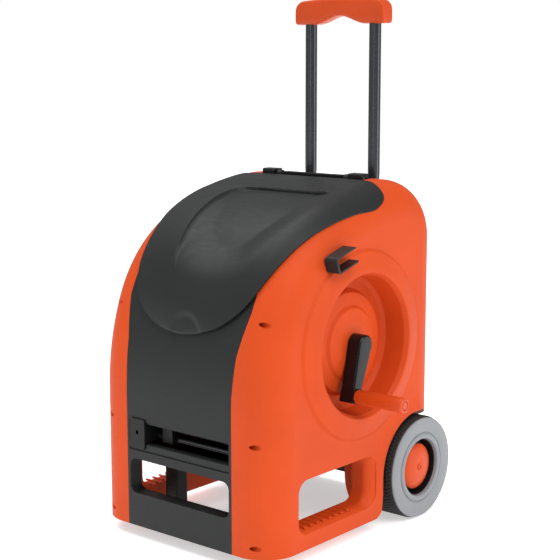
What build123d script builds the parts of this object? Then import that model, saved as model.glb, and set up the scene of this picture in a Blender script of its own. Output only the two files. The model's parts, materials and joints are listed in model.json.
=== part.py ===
"""Garden hose reel cart: a moulded case on two wheels, with a hinged lid, a hose drum
with a crank, a sliding hose guide and a telescopic pull handle.

Working frame while modelling: X = 0 on the middle plane with the crank side at +X,
-Y is the front, Z = 0 is the ground. place() then moves every part so that the origin
lies under the centre of the whole cart's box.
"""
import os
from math import copysign, cos, hypot, radians, sin

from build123d import *

# ---- driving dimensions, mm ----
HALF_WIDTH = 193.5        # middle plane to a side panel's flat face
FRONT_Y = -215.5          # front face
CASE_BOTTOM = 22.0        # the case hangs this far above the ground
EDGE_R = 60.0             # rounding between the side faces and the front, top and rear
WALL = 4.0                # case wall
FRONT_TOP_Z = 248.0       # the front face is upright up to here
ARCS = ((432.0, 21.8), (247.0, 40.8), (497.0, 25.5), (102.0, 91.9))  # radius, turn

PANEL_HALF = 116.0        # dark front and back strips
PANEL_FLARE = 133.0       # front strip's half width under the lid
# screw recesses up the front corners: Z, how far behind the front face, inner end in X
SCREWS = ((40.0, 7.0, 143.0), (203.0, 7.0, 143.0), (391.0, 31.5, 143.0))
SCREW_R = 4.5
SCREW_LONG = 6.0
SCREW_BOSS = 7.5

SCOOP_Z = (312.0, 362.0)  # finger scoop under the lid's tip
SCOOP_R = 44.0
SCOOP_X = -14.0

WINDOW_X = 110.0          # front window half width
WINDOW_Z = (79.0, 138.0)
SLOT_X = 109.0            # hose slot half width
SLOT_Z = (167.0, 201.0)
SIDE_WINDOW_Y = (-144.0, 46.0)
SIDE_WINDOW_Z = (56.0, 138.0)
SIDE_WINDOW_R = 22.0
WINDOW_FLARE = 16.0       # soft widening towards the rear
FLARE_DEPTH = 18.0
SILL_DEPTH = 38.0
FLOOR_Z = 148.0           # inner floor under the drum
LEG_X, LEG_Y = (102.0, 131.0), (-114.0, -86.0)
FOOT_HEIGHT = 8.0

DRUM_Y, DRUM_Z = 20.0, 331.5
RING_R = 155.0            # raised ring round the crank dish
DISH_R = 118.0
RING_RISE = 11.0          # the ring's lip above the side face
DISH_DEPTH = 38.0
HUB_GAP = 17.0            # dish hub's top below the side face
FLANGE_R = 148.0
FLANGE_X = 143.0
CORE_R = 62.0
SHAFT_R = 10.0

CRANK_ARM = 84.0          # hub to knob
CRANK_LEAN = 17.0         # degrees the arm hangs forward of plumb
ARM_X = (177.2, 202.0)
BOSS = 25.0               # square block that carries the knob
KNOB_X = (203.0, 297.0)
KNOB_R = 12.5
KNOB_PIN_R = 4.0
RUN_GAP = 0.06            # radial running clearance of shafts and pins

WHEEL_R = 90.0
WHEEL_Y = 178.0
WHEEL_OUT = 16.0          # outer face outboard of the side panel
WHEEL_WIDTH = 64.0
ARCH_R = 99.0
FLARE_R, FLARE_RISE = 125.0, 4.0   # raised band round the wheel arch
WELL_DEPTH = 76.0
CORNER_R = 16.0           # side panel's lower corner ahead of the wheel
AXLE_R = 6.0
RIM_R = 74.0              # tyre's seat on the disc
RIM_FLANGE = 3.0
LIP_R = 50.0
CAP_R = 40.0

TUBE_X, TUBE_Y = 71.0, 217.0
TUBE_R = 10.5
SLEEVE_R = (10.9, 12.9)
SLEEVE_Z = (196.0, 548.0)
COLLAR_R = 17.0
TUBE_Z = (478.0, 868.0)
GRIP_HALF = 98.0
GRIP_Z = (855.0, 901.0)
GRIP_DEPTH = 30.0

HINGE_Y, HINGE_Z = 135.5, 591.0
HINGE_PIN_R = 3.0
LID_GAP = 0.6
LID_HALF = 199.0
LID_EDGE_R = 66.0
LID_WALL = 3.0
LID_RIGHT = ((32, 111), (72, 124), (106, 146), (126, 169), (143, 206), (157, 253), (167, 300),
             (175, 345), (182, 392), (187, 440))
LID_LEFT = ((-32, 111), (-70, 123), (-102, 145), (-117, 166), (-131, 203), (-139, 250),
            (-147, 298), (-158, 345), (-170, 392), (-181, 440))
LID_REAR = ((178, 472), (153, 491), (120, 500))
LEDGE = 14.0              # the case's lip under the lid's rim

GUIDE_Y = -184.0
ROD_Z = (176.0, 192.0)
ROD_R = 4.0
CARRIAGE_X = -107.0       # guide's left end when parked
JAW_WIDE = 34.0
JAW_Z = (157.0, 208.0)
PASSAGE_Z = (180.4, 187.6)  # between the rods
JAW_PROUD = 3.0           # the jaw's plate in front of the front face

CART_DX = -(KNOB_X[1] - HALF_WIDTH - WHEEL_OUT) / 2
CART_DY = -(WHEEL_Y + WHEEL_R + FRONT_Y - JAW_PROUD) / 2
os.makedirs("parts", exist_ok=True)


def place(name, shape):
    """Move a finished part into the cart's frame and write it."""
    moved = Pos(CART_DX, CART_DY, 0) * shape
    export_step(moved, f"parts/{name}.step")


def block(x, y, z):
    """A box from three (low, high) pairs."""
    size = [hi - lo for lo, hi in (x, y, z)]
    return Pos(*[(lo + hi) / 2 for lo, hi in (x, y, z)]) * Box(*size)


def rod_x(r, x, y, z, bore=0.0):
    """A round bar or tube along X."""
    lo, hi = x
    body = Cylinder(r, hi - lo)
    if bore:
        body -= Cylinder(bore, hi - lo + 1)
    return Pos((lo + hi) / 2, y, z) * Rot(0, 90, 0) * body


def rod_z(r, x, y, z, bore=0.0):
    """A round bar or tube along Z."""
    lo, hi = z
    body = Cylinder(r, hi - lo)
    if bore:
        body -= Cylinder(bore, hi - lo + 1)
    return Pos(x, y, (lo + hi) / 2) * body


def turned(points, y, z):
    """Turn a closed outline of (radius, x) points about an X axis through (y, z)."""
    outline = make_face(Polyline(*points, close=True))
    solid = revolve(Plane.XY * outline, Axis.Y, 360)
    return Pos(0, y, z) * Rot(0, 0, -90) * solid


def side_outline(inset, bottom):
    """The case seen from the side, drawn inset from the outer skin."""
    start = (FRONT_Y + inset, bottom)
    lines = [Line(start, (FRONT_Y + inset, FRONT_TOP_Z))]
    for radius, turn in ARCS:
        last = lines[-1]
        lines.append(JernArc(last @ 1, last % 1, radius - inset, -turn))
    rear_y = (lines[-1] @ 1).X
    lines.append(Line(lines[-1] @ 1, (rear_y, bottom)))
    lines.append(Line((rear_y, bottom), start))
    return make_face(Curve() + lines)


def case_solid(inset, bottom):
    """The case's outer form, inset evenly, with its side edges rounded."""
    half = HALF_WIDTH - inset
    solid = extrude(Plane.YZ.offset(-half) * side_outline(inset, bottom), amount=2 * half)
    keep = [e for f in solid.faces() if abs(abs(f.center().X) - half) < 0.01
            for e in f.edges() if e.center().Z > bottom + 1]
    return fillet(keep, EDGE_R - inset)


def front_strip(margin):
    """Prism over the dark front strip: straight sides that flare under the lid."""
    flat, flare = PANEL_HALF + margin, PANEL_FLARE + margin
    right = [(flat, 0), (flat, 275), (flat + 3, 339), (flat + 10, 374), (flare, 408), (flare, 470)]
    left = [(-x, z) for x, z in reversed(right)]
    face = make_face(Polyline(*right, *left, close=True))
    return extrude(Plane.XZ.offset(120) * face, amount=140)


def lid_outline(margin):
    """Lid outline on the plane tilted 45 degrees: X across, s up the slope.

    Each point is moved outwards by the margin, along the normal of an ellipse that
    has the lid's proportions. The lid leans a little towards the crank side.
    """
    def moved(x, s):
        nx, ns = x / 190**2, (s - 330) / 225**2
        return (x + nx * margin / hypot(nx, ns), s + ns * margin / hypot(nx, ns))

    right = [moved(x, s) for x, s in LID_RIGHT]
    left = [moved(x, s) for x, s in reversed(LID_LEFT)]
    rear_r = [moved(x, s) for x, s in LID_REAR]
    rear_l = [moved(-x, s) for x, s in reversed(LID_REAR)]
    curve = Spline(*left, moved(0, 106), *right)
    return make_face(Curve() + [
        curve,
        Spline(right[-1], *rear_r, tangents=[curve % 1, (-1, 0)]),
        Line(rear_r[-1], rear_l[0]),
        Spline(*rear_l, left[0], tangents=[(-1, 0), curve % 0]),
    ])


SLOPE = Plane(origin=(0, 0, 0), x_dir=(1, 0, 0), z_dir=(0, -sin(radians(45)), cos(radians(45))))


def lid_prism(margin, reach=(150, 700)):
    """The lid outline carried along the slope's normal."""
    return extrude(SLOPE.offset(reach[0]) * lid_outline(margin), amount=reach[1] - reach[0])


def lid_crown(drop):
    """Solid under the lid's crown line, with rounded side edges."""
    crown = [(-213, 345), (-197, 430), (-150, 511), (-62, 567), (36, 591), (126, 583)]
    pts = [(y + drop, z - drop) for y, z in crown]
    top = Spline(*pts)
    low = 330
    corner_a, corner_b = (pts[-1][0], low), (pts[0][0], low)
    base = [Line(pts[-1], corner_a), Line(corner_a, corner_b), Line(corner_b, pts[0])]
    face = make_face(Curve() + [top] + base)
    half = LID_HALF - drop
    solid = extrude(Plane.YZ.offset(-half) * face, amount=2 * half)
    edges = [e for f in solid.faces() if abs(abs(f.center().X) - half) < 0.01
             for e in f.edges() if e.length > 300 and e.center().Z > 450]
    return fillet(edges, LID_EDGE_R - drop)


# ---- case ----
outer = case_solid(0, CASE_BOTTOM)
inner = case_solid(WALL, CASE_BOTTOM - 1)
rear_y = outer.bounding_box().max.Y
shell = outer - inner
shell = shell - lid_prism(-LEDGE)

dark_front = front_strip(0) & block((-150, 150), (-260, -100), (0, 470))
dark_back = block((-PANEL_HALF, PANEL_HALF), (60, rear_y + 5), (CASE_BOTTOM - 2, 640))

front_skin = shell & dark_front
back_skin = shell & dark_back
sides = shell - dark_front - dark_back

# front panel: window and hose slot, each with a deep frame
frame_d = 25.0


def tunnel(x, z, depth, radius, wall):
    """Rounded sleeve behind an opening in the front face, and the opening's cutter."""
    w, h = x[1] - x[0], z[1] - z[0]
    mid = Pos((x[0] + x[1]) / 2, FRONT_Y, (z[0] + z[1]) / 2)
    plane = Plane.XZ
    hole = mid * extrude(plane * RectangleRounded(w, h, radius), amount=20)
    hole += mid * extrude(plane * RectangleRounded(w, h, radius), amount=-(depth + 1))
    sleeve = mid * extrude(plane * RectangleRounded(w + 2 * wall, h + 2 * wall, radius + wall),
                           amount=-depth)
    return hole, sleeve


win_hole, win_sleeve = tunnel((-WINDOW_X, WINDOW_X), WINDOW_Z, frame_d, 13, 3)
slot_hole, slot_sleeve = tunnel((-SLOT_X, SLOT_X), SLOT_Z, 12, 3, 3)
front_panel = (front_skin + win_sleeve + slot_sleeve) - win_hole - slot_hole
step_x, step_z = (-SLOT_X - 2, SLOT_X + 2), (SLOT_Z[0] - 1, SLOT_Z[1] + 3)
front_panel -= block(step_x, (FRONT_Y - 1, FRONT_Y + 1.5), step_z)
front_panel -= block(step_x, (FRONT_Y - 1, FRONT_Y + 2), (JAW_Z[0] - 4, JAW_Z[0]))


def finger_scoop(back):
    """Scoop that widens and deepens upwards, from a point to a wide arc."""
    low, high = SCOOP_Z
    point = Plane.XY.offset(low) * Pos(SCOOP_X, FRONT_Y + back - 3) * Circle(5)
    arc = Plane.XY.offset(high) * Pos(SCOOP_X, FRONT_Y + 16 + back - SCOOP_R) * Circle(SCOOP_R)
    return loft([point, arc], ruled=True)


front_panel = (front_panel + (finger_scoop(WALL) & inner)) - finger_scoop(0)
place("front_panel", front_panel)

# back panel: hinge seat, and the holes that the handle sleeves rise through
seat_z = HINGE_Z - 4
back_panel = back_skin + block((-114, 114), (HINGE_Y - 14, HINGE_Y + 16), (seat_z - 14, seat_z))
back_panel -= block((-111, 111), (HINGE_Y - 16, HINGE_Y + 14), (seat_z, 640))
for x in (-TUBE_X, TUBE_X):
    back_panel -= rod_z(SLEEVE_R[1], x, TUBE_Y, (400, SLEEVE_Z[1] + 1))
    back_panel -= rod_z(COLLAR_R, x, TUBE_Y, (SLEEVE_Z[1], 640))
    pocket_x = sorted((copysign(68, x), copysign(82, x)))
    back_panel -= block(pocket_x, (HINGE_Y - 30, HINGE_Y + 10), (HINGE_Z - 12, 640))
place("back_panel", back_panel)


# ---- side panels ----
def dish_wall():
    """Dish wall turned about the drum axis: a crater-like ring that rises to its lip, a
    deep channel, and a stepped cone with the hub on top."""
    w = HALF_WIDTH
    floor = w - DISH_DEPTH
    face = [(RING_R + 4, w), (RING_R - 1, w + 4), (DISH_R + 11, w + RING_RISE - 1),
            (DISH_R + 3, w + RING_RISE), (DISH_R - 2, w + 3), (DISH_R - 6, floor + 6),
            (DISH_R - 13, floor), (90, floor), (84, w - 29), (63, w - 26), (58, w - HUB_GAP - 4),
            (36, w - HUB_GAP), (14, w - HUB_GAP)]
    back = [(14, w - HUB_GAP - 12), (32, w - HUB_GAP - 12), (32, w - HUB_GAP - 4),
            (55, w - HUB_GAP - 8), (60, w - 30), (81, w - 33), (87, floor - 4),
            (DISH_R - 11, floor - 4), (DISH_R - 2, floor + 3), (DISH_R + 2, w - 2),
            (DISH_R + 8, w + RING_RISE - 6), (RING_R - 4, w - WALL), (RING_R + 4, w - WALL)]
    skin = FilletPolyline(*[(r, x) for r, x in face], radius=2.2)
    outline = make_face(Curve() + [skin, Polyline(face[-1], *back, face[0])])
    solid = revolve(Plane.XY * outline, Axis.Y, 360)
    return Pos(0, DRUM_Y, DRUM_Z) * Rot(0, 0, -90) * solid


def window_form(margin, depth):
    """Carry window's form: straight at the front and top, with a soft flare at the rear
    and bottom where it meets the side face."""
    y0, y1 = SIDE_WINDOW_Y
    z0, z1 = SIDE_WINDOW_Z
    depths = (0, 3, 7, 12, FLARE_DEPTH)
    stations = [(x, WINDOW_FLARE * (1 - x / FLARE_DEPTH) ** 2.2) for x in depths]
    sections = []
    for x, grow in stations:
        wide, high = y1 - y0 + grow + 2 * margin, z1 - z0 + grow / 2 + 2 * margin
        spot = Pos((y0 + y1 + grow) / 2, (z0 + z1 - grow / 2) / 2)
        outline = RectangleRounded(wide, high, SIDE_WINDOW_R + margin)
        sections.append(Plane.YZ.offset(HALF_WIDTH - x) * spot * outline)
    form = loft(sections)
    form += extrude(sections[-1], amount=-(depth - FLARE_DEPTH))
    return form, sections[0]


def side_panel(sign):
    """One orange side: skin, dish, carry window with its sill, wheel arch and well."""
    w = HALF_WIDTH
    half = block(sorted((0, sign * 260)), (-300, 300), (0, 700))
    skin = sides & half
    skin = skin - rod_x(RING_R + 1, sorted((sign * 100, sign * 260)), DRUM_Y, DRUM_Z)
    dish = dish_wall()
    y0, y1 = SIDE_WINDOW_Y
    z0, z1 = SIDE_WINDOW_Z
    hole, mouth = window_form(0, 80)
    hole += extrude(mouth, amount=40)
    frame = window_form(WALL, SILL_DEPTH)[0]
    sill = block((w - SILL_DEPTH, w - 1), (y0 + 4, y1 + 8), (CASE_BOTTOM, z0))
    well = rod_x(ARCH_R + 3, (w - WELL_DEPTH, w - 2), WHEEL_Y, WHEEL_R)
    well -= block((0, 260), (-300, 300), (-200, CASE_BOTTOM))
    well -= block((0, 260), (rear_y - 3, 400), (-20, 300))
    void = rod_x(ARCH_R, (w - WELL_DEPTH + 3, w + 60), WHEEL_Y, WHEEL_R)
    void += block((w - WELL_DEPTH + 3, w + 60), (WHEEL_Y - ARCH_R, 400), (-20, WHEEL_R))
    band = turned([(FLARE_R, w - 2), (FLARE_R, w), (ARCH_R + 4, w + FLARE_RISE),
                   (ARCH_R, w + FLARE_RISE), (ARCH_R, w - 2)], WHEEL_Y, WHEEL_R)
    skin_band = band & block((0, 260), (0, rear_y - EDGE_R), (CASE_BOTTOM, 400))
    if sign < 0:
        skin_band = mirror(skin_band, Plane.YZ)
    skin = skin + skin_band
    if sign < 0:
        forms = (dish, hole, frame, sill, well, void)
        dish, hole, frame, sill, well, void = [mirror(form, Plane.YZ) for form in forms]
    inside = inner & half
    body = skin + dish + ((frame + sill + well) & inside)
    body = body - hole - void
    body -= rod_x(AXLE_R + 0.4, (-260, 260), WHEEL_Y, WHEEL_R)
    for z, back, x in SCREWS:
        seat = x - SCREW_LONG
        boss = rod_x(SCREW_BOSS, sorted((sign * (seat - 3), sign * (x + 32))), FRONT_Y + back, z)
        body += boss & inside
        body -= rod_x(SCREW_R, sorted((sign * seat, sign * 260)), FRONT_Y + back, z)
    corner_y, corner_z = WHEEL_Y - ARCH_R - CORNER_R, CASE_BOTTOM + CORNER_R
    corner = block((-260, 260), (corner_y, corner_y + CORNER_R + 2), (CASE_BOTTOM - 2, corner_z))
    body -= corner - rod_x(CORNER_R, (-270, 270), corner_y, corner_z)
    return body


panels = {"right": side_panel(1), "left": side_panel(-1)}
for side, panel in panels.items():
    place(f"side_panel_{side}", panel)

# ---- inner structure ----
tray = block((-150, 150), (FRONT_Y + 40, rear_y - 44), (FLOOR_Z, FLOOR_Z + 4))
tray -= rod_x(ARCH_R + 5, (100, 260), WHEEL_Y, WHEEL_R)
tray -= rod_x(ARCH_R + 5, (-260, -100), WHEEL_Y, WHEEL_R)
place("inner_floor", tray)
for side, sign in (("right", 1), ("left", -1)):
    x = sorted((sign * LEG_X[0], sign * LEG_X[1]))
    leg = block(x, LEG_Y, (FOOT_HEIGHT, FLOOR_Z))
    place(f"front_leg_{side}", fillet(leg.edges().filter_by(Axis.Z), 4))
    pad = block((x[0] - 2, x[1] + 2), (LEG_Y[0] - 2, LEG_Y[1] + 2), (0, FOOT_HEIGHT))
    place(f"foot_pad_{side}", fillet(pad.edges().filter_by(Axis.Z), 6))

# ---- hose guide ----
for name, z in (("lower", ROD_Z[0]), ("upper", ROD_Z[1])):
    place(f"guide_rod_{name}", rod_x(ROD_R, (-136, 136), GUIDE_Y, z))
for side, sign in (("right", 1), ("left", -1)):
    x = sorted((sign * 136, sign * 142))
    place(f"guide_bracket_{side}", block(x, (GUIDE_Y - 12, GUIDE_Y + 14), (FLOOR_Z + 4, 206)))

front, rear = GUIDE_Y - 9, GUIDE_Y + 9
jaw_x = (CARRIAGE_X, CARRIAGE_X + JAW_WIDE)
plate = block(jaw_x, (FRONT_Y - JAW_PROUD, FRONT_Y - 0.4), JAW_Z)
plate = fillet(plate.edges().filter_by(Axis.Y), 4)
jaw = block(jaw_x, (FRONT_Y - 1, rear), (169, 199))
keeper = block((CARRIAGE_X + 54, CARRIAGE_X + 76), (front - 3, rear), (170, 198))
back_plate = block((CARRIAGE_X, CARRIAGE_X + 76), (rear - 3.5, rear), (169, 199))
socket = block((CARRIAGE_X + 14, CARRIAGE_X + 20), (FRONT_Y - 5, FRONT_Y + 8), (182, 188))
carriage = (plate + jaw + keeper + back_plate) - socket
carriage -= block((CARRIAGE_X + 36, CARRIAGE_X + 52), (front - 20, rear + 20), PASSAGE_Z)
for z in ROD_Z:
    carriage -= rod_x(ROD_R + RUN_GAP, (-140, 0), GUIDE_Y, z)
place("hose_guide", carriage)

# ---- drum ----
place("drum_core", rod_x(CORE_R, (-FLANGE_X, FLANGE_X), DRUM_Y, DRUM_Z, CORE_R - 3))
for side, sign in (("right", 1), ("left", -1)):
    x = sorted((sign * FLANGE_X, sign * (FLANGE_X + 4)))
    disc = rod_x(FLANGE_R, x, DRUM_Y, DRUM_Z, SHAFT_R)
    for k in range(6):
        a = radians(60 * k)
        disc -= rod_x(16, sorted((sign * 100, sign * 200)), DRUM_Y + 105 * cos(a), DRUM_Z + 105 * sin(a))
    place(f"drum_flange_{side}", disc)
place("drum_shaft", rod_x(SHAFT_R, (-178, ARM_X[0]), DRUM_Y, DRUM_Z))
for side, sign in (("right", 1), ("left", -1)):
    x = sorted((sign * (HALF_WIDTH - HUB_GAP - 12), sign * (HALF_WIDTH - HUB_GAP)))
    place(f"drum_bush_{side}", rod_x(14, x, DRUM_Y, DRUM_Z, SHAFT_R + RUN_GAP))

knob_y = DRUM_Y - CRANK_ARM * sin(radians(CRANK_LEAN))
knob_z = DRUM_Z - CRANK_ARM * cos(radians(CRANK_LEAN))
arm_plane = Plane.YZ.offset(ARM_X[0])
head = Pos(DRUM_Y, DRUM_Z) * Circle(18)
tip = Pos(knob_y, knob_z) * Circle(11)
arm_face = make_hull((head + tip).edges())
arm = extrude(arm_plane * arm_face, amount=ARM_X[1] - ARM_X[0])
arm = fillet(arm.faces().sort_by(Axis.X)[-1].edges(), 4)
boss = block((ARM_X[0], ARM_X[1] + 1), (-BOSS / 2, BOSS / 2), (-BOSS / 2, BOSS / 2))
boss = fillet(boss.edges().filter_by(Axis.X), 3)
arm += Pos(0, knob_y, knob_z) * Rot(-CRANK_LEAN, 0, 0) * boss
arm -= rod_x(KNOB_PIN_R, (ARM_X[0] + 4, 320), knob_y, knob_z)
place("crank_arm", arm)
place("crank_pin", rod_x(KNOB_PIN_R, (ARM_X[0] + 4, KNOB_X[1] - 8), knob_y, knob_z))
knob = rod_x(KNOB_R, KNOB_X, knob_y, knob_z)
knob = fillet(knob.faces().sort_by(Axis.X)[-1].edges(), 4)
knob -= rod_x(KNOB_PIN_R + RUN_GAP, (KNOB_X[0] - 1, KNOB_X[1] - 7), knob_y, knob_z)
place("crank_knob", knob)

inlet = rod_x(13, (-HALF_WIDTH - 14, -180), DRUM_Y, DRUM_Z) + rod_x(8, (-HALF_WIDTH - 12.9, -HALF_WIDTH), DRUM_Y, DRUM_Z)
inlet -= rod_x(6, (-HALF_WIDTH - 20, -185), DRUM_Y, DRUM_Z)
inlet = inlet & block((-HALF_WIDTH - 12.9, 0), (-100, 200), (200, 500))
place("water_inlet", inlet)

# ---- wheels ----
wheel_in = HALF_WIDTH + WHEEL_OUT - WHEEL_WIDTH
wheel_face = HALF_WIDTH + WHEEL_OUT


def wheel_parts():
    """Tyre, disc, hub bush and cap of the right wheel."""
    y, z = WHEEL_Y, WHEEL_R
    rim_back = wheel_face - RIM_FLANGE
    tyre = turned([(RIM_R, wheel_in), (WHEEL_R - 4, wheel_in), (WHEEL_R, wheel_in + 5),
                   (WHEEL_R, rim_back - 2), (WHEEL_R - 2, rim_back), (RIM_R, rim_back)], y, z)
    disc = turned([(AXLE_R + 3, wheel_in + 6), (15, wheel_in + 6), (15, wheel_in + 30),
                   (70, wheel_in + 30), (70, wheel_in + 2), (RIM_R, wheel_in + 2),
                   (RIM_R, rim_back), (WHEEL_R - 2.5, rim_back), (WHEEL_R - 4, wheel_face),
                   (LIP_R + 8, wheel_face), (LIP_R, wheel_face - 4), (LIP_R - 2, wheel_face - 26),
                   (AXLE_R + 3, wheel_face - 26)], y, z)
    bush = rod_x(AXLE_R + 3, (wheel_in + 6, wheel_face - 26), y, z, AXLE_R + RUN_GAP)
    cap = turned([(0.01, wheel_face - 4), (12, wheel_face - 4.3), (24, wheel_face - 5.8),
                  (33, wheel_face - 8.4), (38.5, wheel_face - 11), (CAP_R, wheel_face - 13),
                  (CAP_R - 2, wheel_face - 15), (CAP_R - 2.5, wheel_face - 26), (CAP_R - 5, wheel_face - 26),
                  (CAP_R - 5, wheel_face - 15.5), (0.01, wheel_face - 13)], y, z)
    return {"tyre": tyre, "wheel_disc": disc, "wheel_bush": bush, "wheel_cap": cap}


for name, shape in wheel_parts().items():
    place(f"{name}_right", shape)
    place(f"{name}_left", mirror(shape, Plane.YZ))
axle_end = wheel_face - 16
place("wheel_axle", rod_x(AXLE_R, (-axle_end, axle_end), WHEEL_Y, WHEEL_R))
for side, sign in (("right", 1), ("left", -1)):
    x = sorted((sign * (wheel_face - 25), sign * (wheel_face - 22)))
    place(f"axle_clip_{side}", rod_x(10, x, WHEEL_Y, WHEEL_R, AXLE_R))

# ---- telescopic handle ----
for side, sign in (("right", 1), ("left", -1)):
    x = sign * TUBE_X
    place(f"handle_sleeve_{side}", rod_z(SLEEVE_R[1], x, TUBE_Y, SLEEVE_Z, SLEEVE_R[0]))
    collar = rod_z(COLLAR_R, x, TUBE_Y, (SLEEVE_Z[1], SLEEVE_Z[1] + 10), SLEEVE_R[0])
    place(f"sleeve_collar_{side}", fillet(collar.faces().sort_by(Axis.Z)[-1].edges().sort_by(SortBy.LENGTH)[-1:], 2))
    place(f"handle_tube_{side}", rod_z(TUBE_R, x, TUBE_Y, TUBE_Z, TUBE_R - 1.5))
    place(f"tube_plug_{side}", rod_z(TUBE_R - 1.5, x, TUBE_Y, (TUBE_Z[0] + 1, TUBE_Z[0] + 16)))

grip_lo, grip_hi = GRIP_Z
arch = ThreePointArc((-TUBE_X + 16, grip_lo), (0, grip_lo + 14), (TUBE_X - 16, grip_lo))
crown = ThreePointArc((GRIP_HALF, grip_hi - 7), (0, grip_hi), (-GRIP_HALF, grip_hi - 7))
grip_face = make_face(Curve() + [
    arch, Line((TUBE_X - 16, grip_lo), (GRIP_HALF, grip_lo)),
    Line((GRIP_HALF, grip_lo), (GRIP_HALF, grip_hi - 7)), crown,
    Line((-GRIP_HALF, grip_hi - 7), (-GRIP_HALF, grip_lo)), Line((-GRIP_HALF, grip_lo), (-TUBE_X + 16, grip_lo))])
grip = extrude(Plane.XZ.offset(-TUBE_Y - GRIP_DEPTH / 2) * grip_face, amount=GRIP_DEPTH)
corners = [e for e in grip.edges().filter_by(Axis.Y) if abs(e.center().X) > GRIP_HALF - 1]
grip = fillet(corners, 12)
for sign in (-1, 1):
    grip -= rod_z(TUBE_R, sign * TUBE_X, TUBE_Y, (grip_lo - 5, TUBE_Z[1]))
place("handle_grip", grip)

# ---- lid and its hinge ----
lid = (lid_crown(0) & lid_prism(0)) - (lid_crown(LID_WALL) & lid_prism(-LID_WALL))
lid -= case_solid(-LID_GAP, 0)
lid = max(lid.solids(), key=lambda s: s.volume)
knuckles = []
for sign in (-1, 1):
    x = sorted((sign * 70, sign * 80))
    knuckle = rod_x(7, x, HINGE_Y, HINGE_Z) + block(x, (HINGE_Y - 22, HINGE_Y), (HINGE_Z - 11, HINGE_Z - 4))
    knuckles.append(knuckle - rod_x(HINGE_PIN_R + RUN_GAP, (-200, 200), HINGE_Y, HINGE_Z))
place("lid", lid)
for side, knuckle in zip(("left", "right"), knuckles):
    place(f"lid_knuckle_{side}", knuckle - lid)
for side, sign in (("right", 1), ("left", -1)):
    x = sorted((sign * 82, sign * 110))
    ear = block(x, (HINGE_Y - 10, HINGE_Y + 12), (HINGE_Z - 4, HINGE_Z + 9))
    ear = fillet(ear.edges().filter_by(Axis.X), 3) - rod_x(HINGE_PIN_R, (-200, 200), HINGE_Y, HINGE_Z)
    place(f"hinge_block_{side}", ear)
    place(f"hinge_pin_{side}", rod_x(HINGE_PIN_R, sorted((sign * 69, sign * 109)), HINGE_Y, HINGE_Z))
place("hinge_rail", block((-66, 66), (HINGE_Y - 5, HINGE_Y + 9), (HINGE_Z - 4, HINGE_Z + 5)))

# ---- nozzle clip and screws ----
clip_outer = RectangleRounded(56, 27, 6)
clip_inner = Pos(6, 0) * RectangleRounded(58, 21.6, 4)
clip_face = Plane.YZ.offset(HALF_WIDTH) * Pos(-52, 482) * Rot(0, 0, 16) * (clip_outer - clip_inner)
place("nozzle_clip", extrude(clip_face, amount=24) - panels["right"])

screws = []
for sign in (-1, 1):
    for z, back, x in SCREWS:
        span = sorted((sign * (x - SCREW_LONG), sign * x))
        screws.append(rod_x(SCREW_R - 0.5, span, FRONT_Y + back, z))
place("case_screws", Compound(screws))
print("shift", CART_DX, CART_DY, "rear", rear_y)
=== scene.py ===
"""Garden hose reel cart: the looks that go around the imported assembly.

The file is laid out as an add-on. Every operator makes one piece or one group of like
pieces, in metres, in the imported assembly's own frame. Surfaces are numpy grids.
"""

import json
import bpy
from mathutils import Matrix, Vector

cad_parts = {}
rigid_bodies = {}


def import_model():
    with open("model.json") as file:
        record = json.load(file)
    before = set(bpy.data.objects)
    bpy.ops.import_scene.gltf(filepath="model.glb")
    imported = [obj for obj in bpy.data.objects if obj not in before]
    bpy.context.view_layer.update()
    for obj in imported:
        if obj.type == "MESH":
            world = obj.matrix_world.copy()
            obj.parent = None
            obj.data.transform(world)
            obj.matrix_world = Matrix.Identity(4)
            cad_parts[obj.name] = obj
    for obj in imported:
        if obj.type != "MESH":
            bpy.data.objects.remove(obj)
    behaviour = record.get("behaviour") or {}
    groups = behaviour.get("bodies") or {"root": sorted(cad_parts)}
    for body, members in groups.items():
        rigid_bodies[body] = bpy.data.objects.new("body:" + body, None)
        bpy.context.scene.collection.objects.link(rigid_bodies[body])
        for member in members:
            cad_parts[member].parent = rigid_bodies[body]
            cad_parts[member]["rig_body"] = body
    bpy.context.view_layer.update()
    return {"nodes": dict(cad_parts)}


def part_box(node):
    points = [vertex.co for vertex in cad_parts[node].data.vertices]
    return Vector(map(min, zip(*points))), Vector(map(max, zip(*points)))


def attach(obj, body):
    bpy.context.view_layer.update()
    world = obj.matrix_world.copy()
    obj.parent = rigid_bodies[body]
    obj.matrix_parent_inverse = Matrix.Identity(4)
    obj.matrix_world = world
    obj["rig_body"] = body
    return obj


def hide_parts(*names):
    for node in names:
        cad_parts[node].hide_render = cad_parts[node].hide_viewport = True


bl_info = {
    "name": "Hose Reel Cart",
    "version": (1, 0, 0),
    "blender": (4, 5, 0),
    "location": "View3D > Sidebar > Hose Cart",
    "description": "Moulded case, domed lid, drum crank, wheels and pull handle of a hose cart",
    "category": "Object",
}

from math import pi, radians, sqrt

import bmesh
import bpy
import numpy as np
from bpy.props import FloatProperty, FloatVectorProperty, IntProperty, PointerProperty
from bpy.types import Operator, Panel, PropertyGroup

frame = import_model()
MM = 0.001


def centre(node):
    """Middle of a CAD node's box."""
    low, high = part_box(node)
    return np.array((low + high) / 2)


SLOT_OF = {name: node.data.materials[0].name for name, node in frame["nodes"].items()}
MID_X = float(centre("front_panel")[0])
HINGE = centre("hinge_pin_left")[1:]
HUB = centre("drum_core")[1:]
AXLE = centre("wheel_axle")[1:]
TYRE_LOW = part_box("tyre_right")[0]
DISC_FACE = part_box("wheel_disc_right")[1].x
GRIP_LOW, GRIP_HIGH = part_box("handle_grip")
KNOB_LOW, KNOB_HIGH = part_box("crank_knob")


# ---- settings ----
def colour(name, description, default):
    """A colour setting."""
    return FloatVectorProperty(name=name, description=description, default=default, subtype="COLOR",
                               size=3, min=0.0, max=1.0)


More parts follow.
